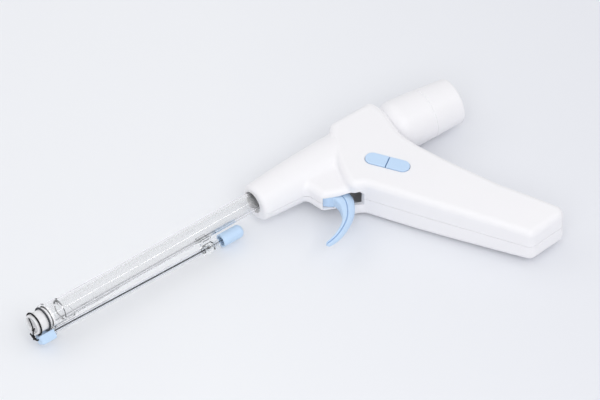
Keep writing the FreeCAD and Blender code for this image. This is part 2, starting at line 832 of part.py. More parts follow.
def carriage_pin():
    """Steel pin across the cheeks."""
    reach = cheek_gap + cheek_thickness
    return post_z(carriage_pin_x, -carriage_pin_drop, -reach, reach, carriage_pin_r)


def spline(points):
    """A smooth edge through flat points."""
    curve = Part.BSplineCurve()
    curve.interpolate([Vector(x, y, 0) for x, y in points])
    return curve.toShape()


def trigger():
    """Curved blade with a crowned front, a hub, a lug and the fork that drives the carriage."""
    rear = spline(trigger_rear_line)
    front = spline(trigger_front_line)
    tip = Part.LineSegment(rear.Vertexes[-1].Point, front.Vertexes[0].Point).toShape()
    top = Part.LineSegment(front.Vertexes[-1].Point, rear.Vertexes[0].Point).toShape()
    blade = plate(Part.Wire([rear, tip, front, top]), -trigger_half, trigger_half)
    rims = flat_edges(blade, trigger_half) + flat_edges(blade, -trigger_half)
    front_rims = [e for e in rims if abs(e.Length - front.Length) < 1e-3]
    rear_rims = [e for e in rims if abs(e.Length - rear.Length) < 1e-3]
    blade = blade.makeFillet(trigger_front_round, front_rims)
    rims = flat_edges(blade, trigger_half) + flat_edges(blade, -trigger_half)
    rear_rims = [e for e in rims if abs(e.Length - rear.Length) < 1e-3]
    blade = blade.makeFillet(trigger_rear_round, rear_rims)
    hub = post_z(pivot_x, pivot_y, -trigger_half, trigger_half, hub_r)
    lug = block(lug_front_x, pivot_x, lug_bottom_y, lug_top_y, -trigger_half, trigger_half)
    corners = [e for e in lug.Edges if e.BoundBox.XMax < lug_front_x + 1e-4 and e.BoundBox.YLength < 1e-4]
    lug = lug.makeFillet(lug_round, corners)
    arm = block(-fork_half_width, fork_half_width, 0, fork_tip, -fork_half_thickness, fork_half_thickness)
    ends = [e for e in arm.Edges if abs(e.CenterOfMass.y - fork_tip) < 1e-4 and abs(e.CenterOfMass.z) < 1e-4]
    arm = arm.makeFillet(0.8, ends)
    slot_half_width = carriage_pin_r + fork_gap
    arm = arm.cut(block(-slot_half_width, slot_half_width, fork_tip - fork_slot_depth, fork_tip + 1,
                        -fork_half_thickness, fork_half_thickness))
    arm.rotate(Vector(0, 0, 0), Vector(0, 0, 1), -trigger_swing / 2)
    arm.translate(pivot)
    body = blade.fuse([hub, lug, arm])
    return body.cut(post_z(pivot_x, pivot_y, -20, 20, pivot_pin_r + pivot_gap)).removeSplitter()


def trigger_pin():
    """Pin between the two shells."""
    return post_z(pivot_x, pivot_y, -pivot_pin_half + 0.1, pivot_pin_half - 0.1, pivot_pin_r)


# Valve keys and manifold

def key_side(sign):
    """The half of the key outline on one side of the split."""
    far = key_length
    near = key_split / 2
    span = (near, far) if sign > 0 else (-far, -near)
    return block(span[0], span[1], -key_width, key_width, -30, 30)


def key(sign):
    """Key with a crowned top, a hidden skirt and a plunger. It is built on the key axes."""
    cap = pill(key_length, key_width, skirt_bottom_z, key_top_z).common(key_side(sign))
    cap = cap.makeFillet(key_crown_round, flat_edges(cap, key_top_z))
    skirt = pill(key_length + 2 * skirt_width, key_width + 2 * skirt_width, skirt_bottom_z, skirt_top_z)
    place = sign * key_pitch / 2
    plunger = post_z(place, 0, skirt_bottom_z - plunger_length, skirt_bottom_z + 0.5, plunger_r)
    body = cap.fuse([skirt.common(key_side(sign)), plunger])
    seal_r = plunger_r + valve_gap - running_gap - 2 * valve_seal_r
    groove = post_z(place, 0, valve_seal_z - 0.7, valve_seal_z + 0.7, plunger_r + 1)
    groove = groove.cut(post_z(place, 0, valve_seal_z - 1, valve_seal_z + 1, seal_r))
    return placed(body.cut(groove), key_place)


def valve_seal(sign):
    """Ring in the groove of a plunger."""
    middle_r = plunger_r + valve_gap - running_gap - valve_seal_r
    ring = Part.makeTorus(middle_r, valve_seal_r, Vector(sign * key_pitch / 2, 0, valve_seal_z))
    return placed(ring, key_place)


def key_spring(sign):
    """Spring under a key, round its plunger."""
    coil = coil_z(chest_top_z, skirt_bottom_z, key_spring_coil_r, key_spring_wire_r, key_spring_turns)
    coil.translate(Vector(sign * key_pitch / 2, 0, 0))
    return placed(coil, key_place)


def manifold():
    """Valve chest with the tube socket, the duct, the arm and the rear socket."""
    chest = block(-key_length / 2, key_length / 2, -chest_width / 2, chest_width / 2, chest_bottom_z,
                  chest_top_z)
    uprights = [e for e in chest.Edges if e.BoundBox.ZLength > 1]
    chest = placed(chest.makeFillet(3.0, uprights), key_place)
    bores = []
    for sign in (-1, 1):
        well = post_z(sign * key_pitch / 2, 0, chest_bottom_z + chest_wall, chest_top_z + 1,
                      plunger_r + valve_gap)
        bores.append(placed(well, key_place))
    first = key_place.multVec(Vector(-key_pitch / 2, 0, 0))
    second = key_place.multVec(Vector(key_pitch / 2, 0, 0))
    low = Vector(0, 0, chest_bottom_z + chest_wall + cross_bore_r + 0.4)
    elbow = Vector(socket_x + socket_length - 3.0, 0, 0)
    rear_middle = chamber_place.multVec(Vector(rear_socket_back - 4.5, 0, 0))
    socket = bar_x(socket_x, socket_x + socket_length, socket_r)
    rear_socket = placed(bar_x(rear_socket_front, rear_socket_back, rear_socket_r), chamber_place)
    duct = rod(elbow, first, duct_r)
    arm = rod(rear_middle, first, duct_r)
    body = chest.fuse([socket, rear_socket, duct, arm])
    bores.append(bar_x(socket_x - 1, suction_tube_end_x, suction_tube_r + glue_gap))
    bores.append(bar_x(suction_tube_end_x - 1, suction_tube_end_x + 2.4, suction_tube_bore_r))
    bores.append(rod(elbow, first, duct_bore_r))
    bores.append(rod(first + low, second + low, cross_bore_r))
    bores.append(rod(rear_middle, first, duct_bore_r))
    bores.append(placed(bar_x(rear_socket_front + 1.5, rear_socket_back + 1, spigot_r + socket_gap),
                        chamber_place))
    return body.cut(bores).removeSplitter()


# Rear chamber

def rear_chamber():
    """Cup with a neck that the shells clamp and a spigot for the manifold."""
    body = chamber_form(0, chamber_face, chamber_seam)
    rim = [e for e in body.Edges if e.BoundBox.XMin > chamber_seam - 1e-4]
    body = body.makeChamfer(seam_chamfer, rim)
    body = body.fuse([
        bar_x(neck_flange_start, chamber_face + 0.5, neck_r),
        bar_x(neck_flange_start, neck_flange_end, neck_flange_r),
        bar_x(spigot_end, neck_flange_start + 0.5, spigot_r),
    ])
    body = body.cut(chamber_form(chamber_wall, chamber_face + chamber_wall, chamber_seam))
    body = body.cut(bar_x(spigot_end - 1, chamber_face + 5, duct_bore_r))
    root_r = spigot_r + socket_gap - running_gap - 2 * spigot_seal_r
    groove = tube_x(spigot_seal_place - 0.6, spigot_seal_place + 0.6, spigot_r + 1, root_r)
    return placed(body.cut(groove), chamber_place)


def spigot_seal():
    """Ring between the spigot and the manifold."""
    ring = ring_x(spigot_seal_place, spigot_r + socket_gap - running_gap - spigot_seal_r, spigot_seal_r)
    return placed(ring, chamber_place)


def seal_place():
    """Place and outer radius of the cap's seal."""
    place = chamber_seam - cap_spigot_length / 2
    share = (place + cap_seal_r - chamber_shoulder) / (chamber_seam - chamber_shoulder)
    wall_r = chamber_shoulder_r + (chamber_seam_r - chamber_shoulder_r) * share - chamber_wall
    return place, wall_r - running_gap


def rear_cap():
    """Cap with a spigot, a recessed plate and the socket for the suction hose."""
    body = chamber_form(0, chamber_face, chamber_end)
    body = body.cut(bar_x(-5, chamber_seam, chamber_shoulder_r + 5))
    rear = [e for e in body.Edges if e.BoundBox.XMin > chamber_end - 1e-4]
    body = body.makeFillet(chamber_end_round, rear)
    front = [e for e in body.Edges if e.BoundBox.XMax < chamber_seam + 1e-4]
    body = body.makeChamfer(seam_chamfer, front)
    plate_end = chamber_end - cap_recess_depth
    inside = chamber_form(chamber_wall, chamber_face + chamber_wall, plate_end - cap_plate)
    inside = inside.cut(bar_x(-5, chamber_seam + cap_ring_length, chamber_shoulder_r + 5))
    body = body.cut([inside, bar_x(plate_end, chamber_end + 1, cap_recess_r)])
    spigot_r_out = chamber_seam_r - chamber_wall - cap_spigot_gap
    body = body.fuse([
        bar_x(chamber_seam - cap_spigot_length, chamber_seam + 0.5, spigot_r_out),
        bar_x(chamber_end - hose_socket_depth - 1.5, chamber_end, hose_socket_r + hose_socket_wall),
    ])
    ring_bore = bar_x(chamber_seam - cap_spigot_length - 1, chamber_end - hose_socket_depth - 1.5, cap_ring_r)
    place, outer_r = seal_place()
    groove = tube_x(place - 0.8, place + 0.8, chamber_shoulder_r, outer_r - 2 * cap_seal_r)
    body = body.cut([
        ring_bore,
        groove.common(bar_x(place - 2, place + 2, spigot_r_out + 0.5)),
        bar_x(chamber_end - hose_socket_depth, chamber_end + 1, hose_socket_r),
        bar_x(chamber_end - hose_socket_depth - 2, chamber_end, hose_throat_r),
    ])
    return placed(body, chamber_place)


def cap_seal():
    """Ring between the cap's spigot and the chamber."""
    place, outer_r = seal_place()
    return placed(ring_x(place, outer_r - cap_seal_r, cap_seal_r), chamber_place)


whole = housing()
half_space = 400.0
parts = {
    "upper_shell": whole.common(block(-half_space, half_space, -half_space, half_space, 0, half_space)),
    "lower_shell": whole.common(block(-half_space, half_space, -half_space, half_space, -half_space, 0)),
    "nose_bush": nose_bush(),
    "suction_tube": suction_tube(),
    "ligating_drum": ligating_drum(),
    "thread_loop": stretched_ring(loop_x, loop_section),
    "elastic_band": stretched_ring(band_x, band_section),
    "mouth_thread": mouth_thread(),
    "pusher_sleeve": pusher_sleeve(),
    "thread_block": thread_block(),
    "thread_tube": thread_tube(),
    "ligature_thread": ligature_thread(),
    "tube_clip": tube_clip(),
    "thread_stub": thread_stub(),
    "pull_cap": pull_cap(),
    "carriage": carriage(),
    "carriage_pin": carriage_pin(),
    "pusher_spring": pusher_spring(),
    "trigger": trigger(),
    "trigger_pin": trigger_pin(),
    "manifold": manifold(),
    "suction_key": key(-1),
    "vent_key": key(1),
    "suction_key_spring": key_spring(-1),
    "vent_key_spring": key_spring(1),
    "suction_valve_seal": valve_seal(-1),
    "vent_valve_seal": valve_seal(1),
    "rear_chamber": rear_chamber(),
    "rear_cap": rear_cap(),
    "cap_seal": cap_seal(),
    "spigot_seal": spigot_seal(),
}
for number, (x, y) in enumerate(screw_places, 1):
    parts["shell_screw_%d" % number] = shell_screw(x, y)

# Everything moves together so that the origin is under the middle of the whole object.
box = FreeCAD.BoundBox()
for shape in parts.values():
    box.add(shape.optimalBoundingBox(False))
shift = Vector(-box.Center.x, -box.Center.y, -box.ZMin)
os.makedirs("parts", exist_ok=True)
for name, shape in parts.items():
    shape.translate(shift)
    shape.exportStep("parts/%s.step" % name)
print("shift", round(shift.x, 4), round(shift.y, 4), round(shift.z, 4))
print("size", round(box.XLength, 3), round(box.YLength, 3), round(box.ZLength, 3))
for name, shape in parts.items():
    print(name, len(shape.Solids), shape.isValid(), round(shape.Volume, 2))
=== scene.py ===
# %% [markdown]
# # A pistol-shaped ligator, dressed for its portrait
#
# The part is a single-use surgical tool: a white moulded grip with a blue trigger, two blue
# valve keys, a clear barrel with a sliding sleeve, and a black thread that ends at a ring on
# the tip. The shapes that carry and move come from the CAD model and are loaded first, as a
# fixed frame. This lesson gives them their plastics, and models what a plain solid can't
# show: twisted thread, a corded band, knots and the light of a studio table.

# %% Load the frame
import math

import bmesh
import bpy
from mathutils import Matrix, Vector


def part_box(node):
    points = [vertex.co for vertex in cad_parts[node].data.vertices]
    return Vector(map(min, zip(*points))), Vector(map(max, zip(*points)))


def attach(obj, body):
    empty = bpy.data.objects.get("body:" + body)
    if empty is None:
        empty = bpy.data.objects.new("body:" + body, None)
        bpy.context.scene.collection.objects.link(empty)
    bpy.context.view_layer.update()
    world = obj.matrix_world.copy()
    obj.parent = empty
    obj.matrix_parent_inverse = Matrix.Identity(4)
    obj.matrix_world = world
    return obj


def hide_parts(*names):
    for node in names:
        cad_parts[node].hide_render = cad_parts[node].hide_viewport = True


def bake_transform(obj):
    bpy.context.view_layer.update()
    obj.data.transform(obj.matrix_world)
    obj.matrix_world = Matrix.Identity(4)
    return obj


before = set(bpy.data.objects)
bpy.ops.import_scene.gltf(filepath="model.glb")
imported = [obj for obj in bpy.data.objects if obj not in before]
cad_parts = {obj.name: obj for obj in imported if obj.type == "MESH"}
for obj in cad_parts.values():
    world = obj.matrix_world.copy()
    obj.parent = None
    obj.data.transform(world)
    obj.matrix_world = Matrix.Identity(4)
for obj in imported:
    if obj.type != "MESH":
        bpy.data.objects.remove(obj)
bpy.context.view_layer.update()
MM = 0.001

# %% [markdown]
# ## One set of axes for the whole barrel
#
# On the real tool everything at the tip is turned about the barrel's axis. Measuring from
# that axis keeps each piece where the solids are, so the axis is read from the drum's box
# and never typed in. The body's nose starts 159 mm behind the drum's front. The thread line
# lies beside the barrel, rolled 50 degrees down.

# %% Find the barrel's axis
drum_low, drum_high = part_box("ligating_drum")
AXIS_Y = (drum_low.y + drum_high.y) / 2
AXIS_Z = (drum_low.z + drum_high.z) / 2
DRUM_FRONT = drum_low.x
NOSE_BEHIND = 159.0
THREAD_ROLL = math.radians(50.0)
THREAD_SIDE = Vector((0.0, -math.cos(THREAD_ROLL), -math.sin(THREAD_ROLL)))


def on_barrel(behind_mm, out_mm=0.0, around=THREAD_SIDE):
    """A point a distance behind the drum's front face, and out from the barrel's axis."""
    return Vector((DRUM_FRONT + behind_mm * MM, AXIS_Y, AXIS_Z)) + around * (out_mm * MM)


print("barrel axis at y", round(AXIS_Y, 5), "z", round(AXIS_Z, 5), "front x", round(DRUM_FRONT, 5))

# %% [markdown]
# ## The camera
#
# The photograph looks down at 47 degrees, from the tip's side, with a long lens, so that
# lines along the barrel hardly run together. A lens on a camera nine and a half metres away
# gives that flat view. Its length follows from the picture's scale: 0.578 mm to a pixel. The
# camera is aimed so that a point under the nose's mouth lands on its own pixel.

# %% Place the camera
PICTURE_PX = (600, 400)
MM_PER_PX = 0.578
CAMERA_AWAY = 9.5
SENSOR_MM = 36.0
NOSE_PX = (254.1, 203.9)
NOSE_DROP = 2.05
TOWARDS = Vector((-0.415, -0.540, 0.731)).normalized()
level = Vector((0.792, -0.610, 0.0)).normalized()
RIGHT = (level - TOWARDS * level.dot(TOWARDS)).normalized()
UP = TOWARDS.cross(RIGHT)
nose_point = on_barrel(NOSE_BEHIND) + Vector((0.0, -NOSE_DROP * MM, 0.0))
right_px, up_px = PICTURE_PX[0] / 2 - NOSE_PX[0], NOSE_PX[1] - PICTURE_PX[1] / 2
aim = nose_point + (RIGHT * right_px + UP * up_px) * (MM_PER_PX * MM)

camera_data = bpy.data.cameras.new("camera")
camera_data.sensor_width = SENSOR_MM
camera_data.lens = SENSOR_MM * CAMERA_AWAY / (PICTURE_PX[0] * MM_PER_PX * MM)
camera = bpy.data.objects.new("camera", camera_data)
bpy.context.scene.collection.objects.link(camera)
camera.location = aim + TOWARDS * CAMERA_AWAY
camera.rotation_euler = TOWARDS.to_track_quat("Z", "Y").to_euler()
bpy.context.scene.camera = camera
print("lens", round(camera_data.lens), "mm")

# %% [markdown]
# ## Helpers for nodes and colours
#
# A finish is a small net of nodes. One function adds a node, sets what it is told and joins
# its inputs, so that a material reads from top to bottom. Colours are written as they look
# on a screen, in hex, and one function turns them into the linear light that a shader wants.


# %% Node and colour helpers
def add_node(tree, kind, settings=None, **inputs):
    """Adds a node. Settings are its properties, and inputs are values or output sockets."""
    node = tree.nodes.new(kind)
    for name, value in (settings or {}).items():
        setattr(node, name, value)
    for name, value in inputs.items():
        key = int(name[1:]) if name[0] == "_" else name.replace("_", " ")
        socket = node.inputs[key]
        if isinstance(value, bpy.types.NodeSocket):
            tree.links.new(value, socket)
        else:
            socket.default_value = value
    return node


def linear(hex_colour):
    """Turns an sRGB hex colour into linear RGBA."""
    parts = [int(hex_colour[i:i + 2], 16) / 255 for i in (1, 3, 5)]
    light = [p / 12.92 if p <= 0.04045 else ((p + 0.055) / 1.055) ** 2.4 for p in parts]
    return (*light, 1.0)


def new_material(name):
    """An empty material with its node tree and output."""
    material = bpy.data.materials.new(name)
    material.use_nodes = True
    material.node_tree.nodes.clear()
    output = add_node(material.node_tree, "ShaderNodeOutputMaterial")
    return material, material.node_tree, output


# %% [markdown]
# ## Moulded ABS
#
# The grip, trigger and keys are ABS, injected into a steel mould whose walls are spark
# eroded. That leaves a satin skin: a fine, soft grain about a third of a millimetre across,
# and a gloss that wanders a little where the plastic flowed. One recipe serves both colours,
# and the acetal of the inner parts. The grain is drawn as bump from noise in object space, so
# it has one size all over.


# %% Moulded plastic recipe
FLOW_MARK_MM = 1000 / 38.0  # 38 marks to a metre
GRAIN_STRENGTH = 0.35
GLOSS_LOWER, GLOSS_HIGHER = 0.05, 0.06


def moulded_plastic(name, colour, shade, roughness, grain_mm, grain_depth_mm, ior=1.54):
    """Satin injection-moulded plastic with a fine eroded grain and slight flow marks."""
    material, tree, output = new_material(name)
    place = add_node(tree, "ShaderNodeTexCoord").outputs["Object"]
    flow = add_node(tree, "ShaderNodeTexNoise", Vector=place, Scale=1.0 / (FLOW_MARK_MM * MM),
                    Detail=2.0, Roughness=0.5)
    tint = add_node(tree, "ShaderNodeMix", {"data_type": "RGBA"}, _0=flow.outputs["Fac"],
                    _6=linear(colour), _7=linear(shade))
    gloss = add_node(tree, "ShaderNodeMapRange", Value=flow.outputs["Fac"],
                     _1=0.3, _2=0.7, _3=roughness - GLOSS_LOWER, _4=roughness + GLOSS_HIGHER)
    grain = add_node(tree, "ShaderNodeTexNoise", Vector=place, Scale=1.0 / (grain_mm * MM),
                     Detail=3.0, Roughness=0.6)
    bump = add_node(tree, "ShaderNodeBump", Strength=GRAIN_STRENGTH, Distance=grain_depth_mm * MM,
                    Height=grain.outputs["Fac"])
    skin = add_node(tree, "ShaderNodeBsdfPrincipled", Base_Color=tint.outputs[2],
                    Roughness=gloss.outputs["Result"], IOR=ior, Normal=bump.outputs["Normal"])
    tree.links.new(skin.outputs["BSDF"], output.inputs["Surface"])
    return material


white_abs = moulded_plastic("white_abs_moulded", "#f4f3f6", "#f1f1f4", 0.42, 0.35, 0.02)
blue_abs = moulded_plastic("blue_abs_moulded", "#c5def8", "#bfd9f6", 0.40, 0.35, 0.02)
acetal = moulded_plastic("acetal_natural_moulded", "#d9dbde", "#d0d3d7", 0.50, 0.5, 0.03, ior=1.48)
print("moulded plastics:", white_abs.name, blue_abs.name, acetal.name)

# %% [markdown]
# ## Clear plastic
#
# The barrel's two tubes are extruded, which leaves faint draw lines along them, and the
# drum and clip are moulded and smoother. The drum looks milky in the photograph, so its
# finish is rougher and lets less light through. The draw lines are a noise stretched along
# the barrel and used as a slight bump. Traced glass throws a full shadow, which thin clear
# plastic does not, so a lamp's shadow ray passes through it, and for the most part through
# the drum.


# %% Clear plastic recipe
DRAW_STRENGTH = 0.1
DRAW_DEPTH_MM = 0.01


def clear_plastic(name, tint, roughness, ior, draw_mm, stretch, clearness=1.0, lamp_share=1.0):
    """Clear plastic with fine lines along the barrel, as an extruder's die leaves them."""
    material, tree, output = new_material(name)
    place = add_node(tree, "ShaderNodeTexCoord").outputs["Object"]
    along = add_node(tree, "ShaderNodeMapping", {"vector_type": "POINT"}, Vector=place,
                     Scale=(1.0 / stretch, 1.0, 1.0))
    lines = add_node(tree, "ShaderNodeTexNoise", Vector=along.outputs["Vector"],
                     Scale=1.0 / (draw_mm * MM), Detail=2.0)
    bump = add_node(tree, "ShaderNodeBump", Strength=DRAW_STRENGTH, Distance=DRAW_DEPTH_MM * MM,
                    Height=lines.outputs["Fac"])
    glass = add_node(tree, "ShaderNodeBsdfPrincipled", Base_Color=linear(tint), Roughness=roughness,
                     IOR=ior, Transmission_Weight=clearness, Normal=bump.outputs["Normal"])
    passing = add_node(tree, "ShaderNodeBsdfTransparent")
    lamp_ray = add_node(tree, "ShaderNodeLightPath").outputs["Is Shadow Ray"]
    share = add_node(tree, "ShaderNodeMath", {"operation": "MULTIPLY"}, _0=lamp_ray, _1=lamp_share)
    both = add_node(tree, "ShaderNodeMixShader", _0=share.outputs[0], _1=glass.outputs["BSDF"],
                    _2=passing.outputs["BSDF"])
    tree.links.new(both.outputs["Shader"], output.inputs["Surface"])
    return material


extruded_clear = clear_plastic("clear_polycarbonate_extruded", "#fefefe", 0.03, 1.45, 0.8, 60.0)
moulded_clear = clear_plastic("clear_polycarbonate_moulded", "#fdfefe", 0.05, 1.45, 1.5, 1.0)
milky_clear = clear_plastic("milky_polycarbonate_moulded", "#fcfcfe", 0.12, 1.45, 1.5, 1.0,
                            clearness=0.3, lamp_share=0.6)
soft_clear = clear_plastic("clear_pvc_soft_extruded", "#f6f8fb", 0.10, 1.40, 0.9, 40.0)
print("clear plastics:", extruded_clear.name, moulded_clear.name, soft_clear.name)

# %% [markdown]
# ## Thread, rubber and steel
#
# The ligature is braided silk, waxed black, with hardly any gloss. The band and the seals
# are rubber, dull and a little lighter than the thread, and the band has a faint sheen. The
# springs, pins and screws are drawn or turned steel, with fine lines from the die or tool.


# %% Thread, rubber and steel recipes
FIBRE_DEPTH_MM = 0.03


def dark_soft(name, colour, shade, roughness, grain_mm, sheen):
    """A dark dull finish for thread or rubber, with a fine uneven surface."""
    material, tree, output = new_material(name)
    place = add_node(tree, "ShaderNodeTexCoord").outputs["Object"]
    fibre = add_node(tree, "ShaderNodeTexNoise", Vector=place, Scale=1.0 / (grain_mm * MM),
                     Detail=4.0, Roughness=0.65)
    tint = add_node(tree, "ShaderNodeMix", {"data_type": "RGBA"}, _0=fibre.outputs["Fac"],
                    _6=linear(colour), _7=linear(shade))
    bump = add_node(tree, "ShaderNodeBump", Strength=0.5, Distance=FIBRE_DEPTH_MM * MM,
                    Height=fibre.outputs["Fac"])
    skin = add_node(tree, "ShaderNodeBsdfPrincipled", Base_Color=tint.outputs[2],
                    Roughness=roughness, IOR=1.4, Sheen_Weight=sheen, Normal=bump.outputs["Normal"])
    tree.links.new(skin.outputs["BSDF"], output.inputs["Surface"])
    return material


def steel_finish(name, colour, roughness, line_mm):
    """Bright steel with fine lines from drawing or turning."""
    material, tree, output = new_material(name)
    place = add_node(tree, "ShaderNodeTexCoord").outputs["Object"]
    lines = add_node(tree, "ShaderNodeTexNoise", Vector=place, Scale=1.0 / (line_mm * MM),
                     Detail=2.0)
    gloss = add_node(tree, "ShaderNodeMapRange", Value=lines.outputs["Fac"], _3=roughness - 0.06,
                     _4=roughness + 0.08)
    metal = add_node(tree, "ShaderNodeBsdfPrincipled", Base_Color=linear(colour), Metallic=1.0,
                     Roughness=gloss.outputs["Result"])
    tree.links.new(metal.outputs["BSDF"], output.inputs["Surface"])
    return material


silk = dark_soft("silk_braided_waxed_black", "#0e0f12", "#1a1b1f", 0.70, 0.12, 0.0)
band_rubber = dark_soft("rubber_corded_dark", "#303238", "#4a4d54", 0.65, 0.25, 0.1)
seal_rubber = dark_soft("nitrile_seal_moulded", "#2b2c2f", "#35363a", 0.65, 0.4, 0.0)
wire_steel = steel_finish("steel_wire_drawn", "#c3c5c9", 0.28, 0.3)
screw_steel = steel_finish("steel_screw_zinc_plated", "#c9ccd1", 0.34, 0.5)
print("dark and metal finishes made")

# %% [markdown]
# ## Dress the solids
#
# Each CAD node keeps its shape and gets the finish of the piece it is. The table below says
# which, by node name, and the check after it makes sure that none is left bare.

# %% Dress the CAD nodes
FINISHES = [
    (white_abs, ["upper_shell", "lower_shell", "rear_chamber", "rear_cap"]),
    (blue_abs, ["trigger", "suction_key", "vent_key", "thread_block", "pull_cap"]),
    (extruded_clear, ["suction_tube", "pusher_sleeve"]),
    (milky_clear, ["ligating_drum"]),
    (moulded_clear, ["tube_clip"]),
    (soft_clear, ["thread_tube", "thread_stub"]),
    (silk, ["thread_loop", "ligature_thread", "mouth_thread"]),
    (band_rubber, ["elastic_band"]),
    (seal_rubber, ["suction_valve_seal", "vent_valve_seal", "cap_seal", "spigot_seal"]),
    (acetal, ["nose_bush", "carriage", "manifold"]),
    (wire_steel, ["pusher_spring", "suction_key_spring", "vent_key_spring"]),
    (wire_steel, ["carriage_pin", "trigger_pin"]),
    (screw_steel, ["shell_screw_%d" % i for i in range(1, 6)]),
]
for finish, names in FINISHES:
    for name in names:
        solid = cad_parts[name]
        solid.data.materials.clear()
        solid.data.materials.append(finish)
undressed = set(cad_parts) - {name for _, names in FINISHES for name in names}
assert not undressed, undressed
print("dressed", len(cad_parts), "nodes")

# %% [markdown]
# ## The trigger's blade
#
# The real trigger has a finger plate in front and a rib behind it, with a fine groove between
# the two, and it narrows to a slim rounded tip. At its top the plate sweeps forward into a
# small lug. Two smooth lines in the plane of the grip, front and rear, say where it runs. A
# loft between them is the easiest way: each section spans from one line to the other. The
# hub and the fork inside the body come from the solid, whose thicker blade is cut away.


# %% A smooth line through points
def smooth_line(points, count):
    """Points on a Catmull-Rom curve through the given ones."""
    ends = [points[0] * 2 - points[1]] + points + [points[-1] * 2 - points[-2]]
    spans = len(points) - 1
    line = []
    for i in range(count):
        at = min(i * spans / (count - 1), spans - 1e-6)
        k, t = int(at), at - int(at)
        a, b, c, d = ends[k:k + 4]
        bend = 2 * a - 5 * b + 4 * c - d
        twist = 3 * b - a - 3 * c + d
        line.append(0.5 * (2 * b + (c - a) * t + bend * t ** 2 + twist * t ** 3))
    return line


# %% Trigger section and loft
FINGER_LINE = [(13.0, -52.3), (17.6, -51.7), (22.7, -50.2), (28.9, -46.9), (33.0, -42.8),
               (35.7, -38.2), (37.2, -33.4), (37.0, -29.6), (35.3, -26.6), (32.6, -25.0)]
BACK_LINE = [(13.6, -54.8), (18.8, -54.7), (24.8, -53.4), (32.0, -50.2), (38.2, -46.4),
             (42.9, -41.8), (47.0, -35.6), (48.1, -30.4), (47.6, -26.6), (46.0, -24.6)]
HALF_WIDTH = [1.7, 2.2, 2.7, 3.2, 3.6, 3.82, 3.85, 3.85, 3.85, 3.85]
STATIONS, BACK_POINTS, NOSE_POINTS = 96, 9, 6
PLATE_SHARE, PLATE_ROUND, STEP_DEPTH = 0.42, 1.5, 0.3
ROUND_SHARE, ROUND_LEAST, ROUND_MOST = 0.42, 0.4, 0.8
LIP_WIDTH, LIP_BACK, LIP_DROP = 0.15, 0.02, 0.06
GROOVE_DEPTH, GROOVE_WIDTH, GROOVE_EDGE = 0.9, 0.55, 0.08
FLOOR_SHARE, BRIM_SHARE = 0.8, 1.2
RIB_POWER, ROOT_POWER = 2.3, 3.0
ROOT_START, TIP_START, TIP_END = 0.74, 0.002, 0.045


def grip_point(x, y, z):
    """A point from millimetres behind the nose, beside the barrel's axis and over it."""
    return on_barrel(NOSE_BEHIND + x) + Vector((0.0, y, z)) * MM


def half_section(thick, half, rootward):
    """The upper half of the blade's section, as (across, height) from the finger side."""
    step = STEP_DEPTH * (1.0 - rootward)
    plate = PLATE_SHARE * thick
    round_r = min(PLATE_ROUND, ROUND_SHARE * plate + ROUND_LEAST, ROUND_MOST * half)
    line = []
    for i in range(NOSE_POINTS + 1):
        turn = math.pi / 2 * i / NOSE_POINTS
        line.append((round_r * (1 - math.cos(turn)), half - round_r * (1 - math.sin(turn))))
    floor = half - step - GROOVE_DEPTH * (1.0 - rootward)
    start = plate + GROOVE_WIDTH * BRIM_SHARE
    line += [(plate - LIP_WIDTH, half), (plate - LIP_BACK, half - LIP_DROP), (plate, floor),
             (plate + GROOVE_WIDTH * FLOOR_SHARE, floor),
             (plate + GROOVE_WIDTH, half - step - GROOVE_EDGE), (start, half - step)]
    power = RIB_POWER + ROOT_POWER * rootward
    for i in range(1, BACK_POINTS + 1):
        turn = math.pi / 2 * i / BACK_POINTS
        across = start + (thick - start) * math.sin(turn) ** (2 / power)
        line.append((across, (half - step) * math.cos(turn) ** (2 / power)))
    return line


def blade_loft():
    """The blade as a closed mesh of sections from its tip to its root."""
    spots = []
    for line in (FINGER_LINE, BACK_LINE):
        spots.append(smooth_line([Vector((x, y, 0.0)) for x, y in line], STATIONS))
    halves = smooth_line([Vector((h, 0.0, 0.0)) for h in HALF_WIDTH], STATIONS)
    shape = bmesh.new()
    rings = []
    for i, (front, back, half) in enumerate(zip(*spots, halves)):
        share = i / (STATIONS - 1)
        rootward = min(max((share - ROOT_START) / (1 - ROOT_START), 0.0), 1.0)
        across = (back - front).normalized()
        middle = (front + back) / 2
        upper = half_section((back - front).length, half.x, rootward)
        outline = upper + [(a, -b) for a, b in reversed(upper[:-1])]
        from_tip = min(max(share, TIP_START) / TIP_END, 1.0)
        shrink = math.sqrt(1 - (1 - from_tip) ** 2)
        ring = []
        for a, b in outline:
            spot = middle + (front + across * a - middle) * shrink
            ring.append(shape.verts.new(grip_point(spot.x, spot.y, b * shrink)))
        rings.append(ring)
    count = len(rings[0])
    for one, two in zip(rings, rings[1:]):
        for k in range(count):
            shape.faces.new((one[k], one[(k + 1) % count], two[(k + 1) % count], two[k]))
    shape.faces.new(rings[0])
    shape.faces.new(list(reversed(rings[-1])))
    bmesh.ops.recalc_face_normals(shape, faces=shape.faces)
    return shape


# Each cut is a plane: a point on it, and the side that is taken away
HUB_CUTS = [((0.0, -29.2), (0.0, -1.0)), ((33.4, -25.6), (-0.7, -0.72))]


def trigger_hub():
    """The solid's hub and fork, with its blade and the underside of its lug cut away."""
    shape = bmesh.new()
    shape.from_mesh(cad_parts["trigger"].data)
    bmesh.ops.remove_doubles(shape, verts=shape.verts, dist=1e-6)
    for spot, away in HUB_CUTS:
        every = list(shape.verts) + list(shape.edges) + list(shape.faces)
        cut_parts = bmesh.ops.bisect_plane(shape, geom=every, plane_co=grip_point(*spot, 0.0),
                                           plane_no=Vector((*away, 0.0)), clear_outer=True)
        edges = [part for part in cut_parts["geom_cut"] if isinstance(part, bmesh.types.BMEdge)]
        bmesh.ops.contextual_create(shape, geom=edges)
    return shape


